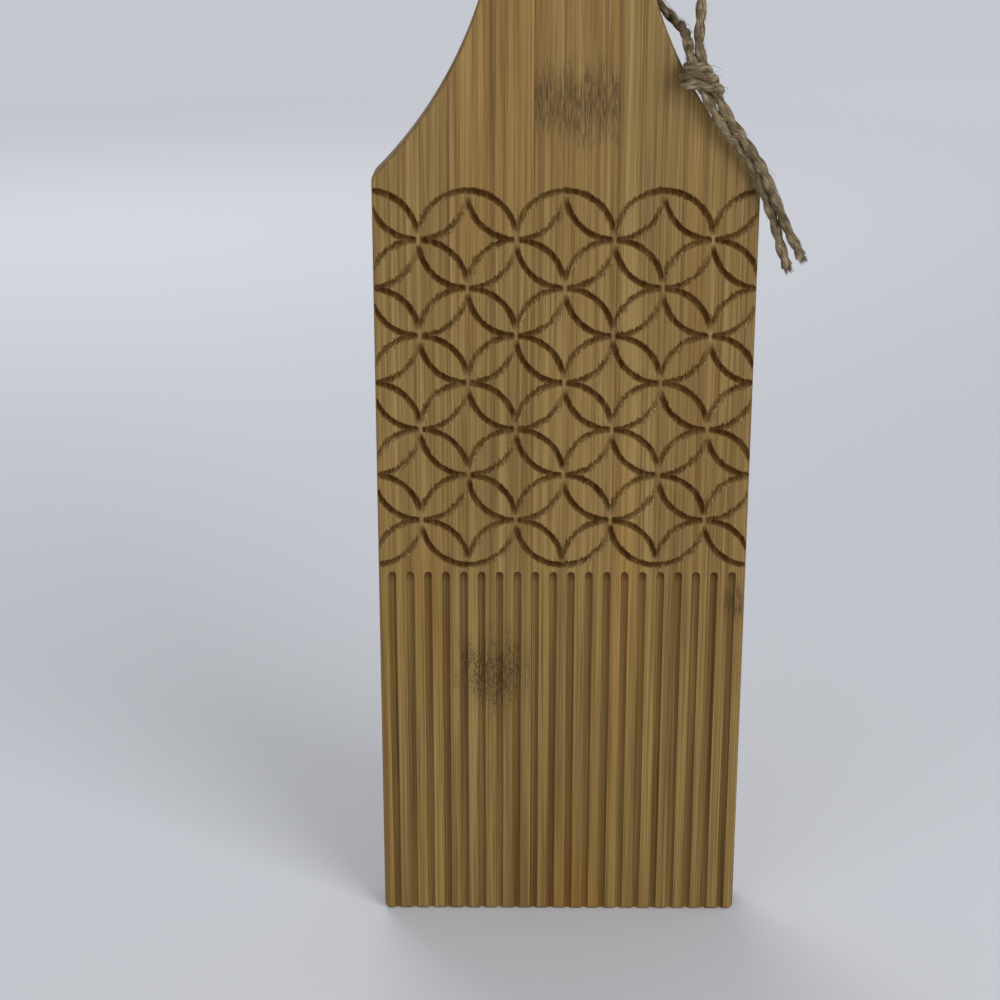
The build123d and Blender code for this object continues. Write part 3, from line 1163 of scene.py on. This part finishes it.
@dataclass
class Twine:
    """The hanging loop: two cords of two plies each, and the knot that joins them."""

    blank: Blank
    diameter: float = 0.0027
    plies: int = 2
    lay_length: float = 0.0118
    ply_share: float = 0.385
    ply_offset: float = 0.19
    ply_sides: int = 3
    route_steps: int = 24
    step: float = 0.0005
    lump_steps: int = 5
    lump_turn: float = 0.03
    lump_offset: float = 0.06
    lump_radius: float = 0.07
    loose_end: float = 0.005
    loose_offset: float = 0.35
    fibre_radius: float = 0.00005
    fibre_root: float = 0.42
    fibre_arch: float = 2.6
    fibre_length: tuple = (0.002, 0.006)
    fibre_lift: tuple = (0.0002, 0.0010)
    fibre_lean: tuple = (-0.5, 0.5)
    fibre_shares: tuple = (0.0, 0.25, 0.5, 0.75, 1.0)
    taper_shares: tuple = (1, 1, 0.9, 0.7, 0.3)
    end_place: tuple = (0.0, 0.0011)
    end_length: tuple = (0.0015, 0.0034)
    end_spread: tuple = (0.0, 0.0007)
    # Points of a line without fibres, at its start and at its far end
    bare_points: tuple = (2, 8)
    end_root: int = -3
    end_fibre_share: float = 1 / 3
    cord_fibres: int = 170
    knot_fibres: int = 60
    knot_steps: int = 240
    knot_twist: float = 0.4
    knot_turns: float = 2.75
    knot_reach: tuple = (0.0027, 0.0040)
    knot_depth: tuple = (0.0025, 0.0036)
    knot_swell: float = 1.25
    knot_swell_power: float = 0.8
    knot_fall: tuple = (0.10, 0.79)
    knot_slope: tuple = (0.00076, 0.0019)
    knot_shift: float = 0.0013
    knot_ends: tuple = (0.05, 0.93)
    knot_tuck: tuple = (0.45, 1.0)

    def __post_init__(self) -> None:
        """Find the hole and make the material."""
        self.hole = Vector((0.0, 0.0, self.blank.hole_height))
        self.material = JuteFinish().material()

    def _follow(self, route: list) -> list:
        """Points of the smooth spline of a route that starts from the hole, in metres."""
        places = [self.hole + Vector(place) * MM for place in route]
        mesh = curve_mesh("NURBS", [(places, [1.0] * len(places))], resolution_u=self.route_steps)
        return [vert.co.copy() for vert in mesh.vertices]

    def _add_twine(self, bm: bmesh.types.BMesh, line: list, turn: float, seed: int,
                   opens: bool) -> None:
        """Add twisted plies along a line.

        Args:
            bm: Mesh that they join.
            line: Evenly spaced points of the twine's axis.
            turn: Angle at which the twist starts.
            seed: Seed of the unevenness of the plies.
            opens: Whether the twist opens at the far end.
        """
        frames = line_frames(line)
        spacing = (line[1] - line[0]).length
        ply_radius = self.diameter * self.ply_share / MM
        offset = self.diameter * self.ply_offset
        for ply in range(self.plies):
            count = len(line) // self.lump_steps + 3
            lumps = np.random.default_rng(seed + ply).uniform(-1.0, 1.0, count)
            points, radii = [], []
            for number, (point, line_frame) in enumerate(zip(line, frames)):
                lump = float(np.interp(number / self.lump_steps, range(count), lumps))
                to_end = (len(line) - 1 - number) * spacing
                loose = max(0.0, 1 - to_end / self.loose_end) if opens else 0.0
                angle = turn + FULL_TURN * (
                    number * spacing / self.lay_length + ply / self.plies + self.lump_turn * lump
                )
                away = offset * (1 + self.lump_offset * lump + self.loose_offset * loose)
                points.append(point + outward(line_frame, angle) * away)
                radii.append(ply_radius * (1 + self.lump_radius * lump))
            add_tubes(bm, [(points, radii)], self.ply_sides)

    def _add_fuzz(self, bm: bmesh.types.BMesh, line: list, count: int, seed: int) -> None:
        """Add loose fibres along a line and at its far end.

        Args:
            bm: Mesh that they join.
            line: Evenly spaced points of the twine's axis.
            count: Number of fibres along it.
            seed: Seed of their places.
        """
        dice = np.random.default_rng(seed)
        frames = line_frames(line)
        fibres = []
        first, last = self.bare_points
        for _ in range(count):
            place = int(dice.integers(first, len(line) - last))
            ahead = frames[place][0]
            out = outward(frames[place], dice.uniform(0, FULL_TURN))
            length = dice.uniform(*self.fibre_length)
            lift = dice.uniform(*self.fibre_lift)
            lean = dice.uniform(*self.fibre_lean)
            start = line[place] + out * (self.diameter * self.fibre_root)
            bend = out.cross(ahead) * length * lean
            fibres.append((start, out * lift, ahead * length, bend, 1))
        ahead = frames[-1][0]
        for _ in range(int(count * self.end_fibre_share)):
            out = outward(frames[-1], dice.uniform(0, FULL_TURN))
            start = line[self.end_root] + out * dice.uniform(*self.end_place)
            length = dice.uniform(*self.end_length)
            bend = out * dice.uniform(*self.end_spread)
            fibres.append((start, out * 0.0, ahead * length, bend, 2))
        add_tubes(bm, [
            ([start + lift * math.sin(share * self.fibre_arch) + reach * share + bend * share * share
              for share in self.fibre_shares],
             [self.fibre_radius / MM * thickness * share for share in self.taper_shares])
            for start, lift, reach, bend, thickness in fibres
        ], 0)

    def _piece(self, name: str, line: list, turn: float, seeds: tuple, fibres: int,
               opens: bool) -> bpy.types.Object:
        """Make a piece of twine.

        Args:
            name: Name of the piece.
            line: Points of its axis.
            turn: Angle at which the twist starts.
            seeds: Seeds of its plies and of its loose fibres.
            fibres: Number of loose fibres along it.
            opens: Whether the twist opens at the far end.

        Returns:
            The piece.
        """
        spaced = spaced_points(line, self.step)
        bm = bmesh.new()
        self._add_twine(bm, spaced, turn, seeds[0], opens)
        self._add_fuzz(bm, spaced, fibres, seeds[1])
        mesh = finished_mesh(name, bm)
        mesh.materials.append(self.material)
        piece = add_object(name, mesh)
        log.info("%s has %d faces", name, len(mesh.polygons))
        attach(piece, "root")
        return piece

    def _knot(self) -> bpy.types.Object:
        """Wraps of the knot that both strands make together.

        Returns:
            The piece.
        """
        ends = [Vector(place) for place in (
            FRONT_STRAND_ROUTE[-1], BACK_STRAND_ROUTE[-1], SHORT_TAIL_ROUTE[0], LONG_TAIL_ROUTE[0],
        )]
        top = self.hole + (ends[0] + ends[1]) / 2 * MM
        bottom = self.hole + (ends[2] + ends[3]) / 2 * MM
        down = (bottom - top).normalized()
        across = ends[0] - ends[1]
        across = (across - down * across.dot(down)).normalized()
        forward = down.cross(across)
        wraps = []
        for number in range(self.knot_steps + 1):
            share = number / self.knot_steps
            angle = math.pi - FULL_TURN * self.knot_turns * share
            held = smooth_step(0.0, self.knot_ends[0], share)
            tuck = between(self.knot_tuck, float(held * smooth_step(1.0, self.knot_ends[1], share)))
            swell = min(1.0, share * self.knot_swell) ** self.knot_swell_power
            reach = between(self.knot_reach, swell) * tuck
            depth = between(self.knot_depth, swell) * tuck
            fall = (bottom - top).length * between(self.knot_fall, share)
            slope = between(self.knot_slope, swell) * math.cos(angle)
            wraps.append(
                top + down * (fall + slope) + across * (math.cos(angle) * reach - self.knot_shift)
                + forward * math.sin(angle) * depth
            )
        piece = self._piece("knot_wraps", wraps, self.knot_twist, (71, 72), self.knot_fibres, False)
        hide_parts("twine_knot")
        return piece

    def _cord(self, name: str, route: list, nodes: tuple, seed: int) -> bpy.types.Object:
        """One cord of the loop, from the hole through the knot to a free end.

        Args:
            name: Name of the piece.
            route: Route from the hole to the free end.
            nodes: Nodes that it stands for.
            seed: Seed of its unevenness and its loose fibres.

        Returns:
            The piece.
        """
        line = self._follow(route)
        piece = self._piece(name, line, 0.0, (seed, seed + 5), self.cord_fibres, True)
        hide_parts(*nodes)
        return piece

    def build(self) -> None:
        """Make the whole loop."""
        knot = self._knot()
        self._cord("front_cord", FRONT_STRAND_ROUTE + SHORT_TAIL_ROUTE,
                   ("twine_front_strand", "twine_short_tail"), 21)
        self._cord("back_cord", BACK_STRAND_ROUTE + LONG_TAIL_ROUTE,
                   ("twine_back_strand", "twine_long_tail"), 31)


@dataclass(frozen=True)
class Lamp:
    """Soft square lamp that faces the board."""

    name: str
    place: tuple
    size: float
    power: float

    def build(self, aim: Vector) -> None:
        """Make the lamp.

        Args:
            aim: Point that it faces.
        """
        data = bpy.data.lights.new(self.name, "AREA")
        data.shape = "SQUARE"
        data.size = self.size
        data.energy = self.power
        light = add_object(self.name, data)
        light.location = self.place
        light.rotation_euler = (aim - Vector(self.place)).to_track_quat("-Z", "Y").to_euler()


@dataclass
class Studio:
    """Floor, light, and the camera where the photograph was taken from."""

    lamps: tuple = (
        Lamp("key_light", (0.92, -1.15, 0.70), 0.9, 16.0),
        Lamp("fill_light", (-0.9, -1.3, 0.20), 1.2, 10.4),
        Lamp("back_light", (-0.4, 1.2, 1.2), 1.0, 9.0),
    )
    floor_size: float = 15.0
    sky_colour: tuple = (0.93, 0.96, 1.0)
    sky_strength: float = 0.40
    camera_place: tuple = (-0.01537, -0.57185, 0.3165)
    camera_pitch: float = -17.731
    camera_yaw: float = -0.328
    camera_lens: float = 72.0
    camera_sensor: float = 36.0
    camera_nearest: float = 0.01

    def build(self, aim: Vector) -> None:
        """Make the whole studio.

        Args:
            aim: Point that the lamps face.
        """
        bpy.context.scene.view_settings.view_transform = "Standard"
        self._camera()
        self._floor()
        self._sky()
        for lamp in self.lamps:
            lamp.build(aim)

    def _floor(self) -> None:
        """Plain pale floor."""
        bm = bmesh.new()
        bmesh.ops.create_grid(bm, x_segments=1, y_segments=1, size=self.floor_size)
        mesh = finished_mesh("floor", bm)
        mesh.materials.append(FloorPaint().material())
        add_object("floor", mesh)

    def _sky(self) -> None:
        """Even light from all round, which the camera sees as a pale backdrop."""
        sky = Shader(bpy.data.worlds.new("studio"), "Background")
        light = sky.surface
        sky.fill(light, {"Color": self.sky_colour, "Strength": self.sky_strength})
        seen = sky.node("ShaderNodeBackground", Color=FloorPaint().colour, Strength=1.0)
        either = sky.result("ShaderNodeMixShader", {}, sky.camera_ray(), light.outputs[0],
                            seen.outputs[0])
        sky.plug(sky.tree.nodes["World Output"].inputs["Surface"], either)
        bpy.context.scene.world = sky.owner

    def _camera(self) -> None:
        """Camera where the photograph was taken from."""
        data = bpy.data.cameras.new("camera")
        data.lens = self.camera_lens
        data.sensor_width = self.camera_sensor
        data.clip_start = self.camera_nearest
        camera = add_object("camera", data)
        camera.location = self.camera_place
        turn = (math.radians(90 + self.camera_pitch), 0.0, math.radians(-self.camera_yaw))
        camera.rotation_euler = Euler(turn)
        bpy.context.scene.camera = camera


GRAINS = (
    Grain("front_strip_1", 0.97, 0.2, 1.0),
    Grain("front_strip_2", 0.96, 0.1, 2.0,
          (Knuckle(-0.0210, 0.0805, 0.0180, 0.0165, 1.0, Pattern((2300, 2300, 800), 2.0, 1, 0.6)),)),
    Grain("front_strip_3", 0.94, 0.45, 3.0, (Knuckle(0.0040, 0.2525, 0.0300, 0.0150),)),
    Grain("front_strip_4", 0.96, 0.2, 4.0),
    Grain("front_strip_5", 0.93, 0.3, 5.0, (Knuckle(0.0525, 0.1040, 0.0060, 0.0085, 0.9),)),
    Grain("core_strip_1", 0.95, 0.3, 6.0, (Knuckle(-0.0500, 0.1400, 0.0120, 0.0090),)),
    Grain("core_strip_2", 0.97, 0.0, 7.0),
    Grain("core_strip_3", 0.92, 0.4, 8.0),
    Grain("core_strip_4", 1.00, -0.2, 9.0),
    Grain("core_strip_5", 0.95, 0.2, 10.0, (Knuckle(0.0480, 0.0700, 0.0120, 0.0090),)),
    Grain("back_strip_1", 0.98, 0.1, 11.0, (Knuckle(-0.0440, 0.0600, 0.0140, 0.0100),)),
    Grain("back_strip_2", 0.94, 0.4, 12.0, (Knuckle(-0.0200, 0.2030, 0.0150, 0.0110),)),
    Grain("back_strip_3", 1.02, -0.1, 13.0, (Knuckle(0.0040, 0.1000, 0.0150, 0.0100),)),
    Grain("back_strip_4", 0.96, 0.3, 14.0, (Knuckle(0.0280, 0.1720, 0.0150, 0.0110),)),
    Grain("back_strip_5", 1.00, 0.0, 15.0),
)


def main() -> None:
    """Dress the whole object."""
    logging.basicConfig(level=logging.INFO)
    blank = Blank()
    Studio().build(Vector((0.0, 0.0, blank.length / 2)))
    Twine(blank).build()
    board = Board(blank, Carving(blank))
    for grain in GRAINS:
        strip = board.build(grain)
        log.info("%s has %d faces", strip.name, len(strip.data.polygons))


if __name__ == "__main__":
    main()
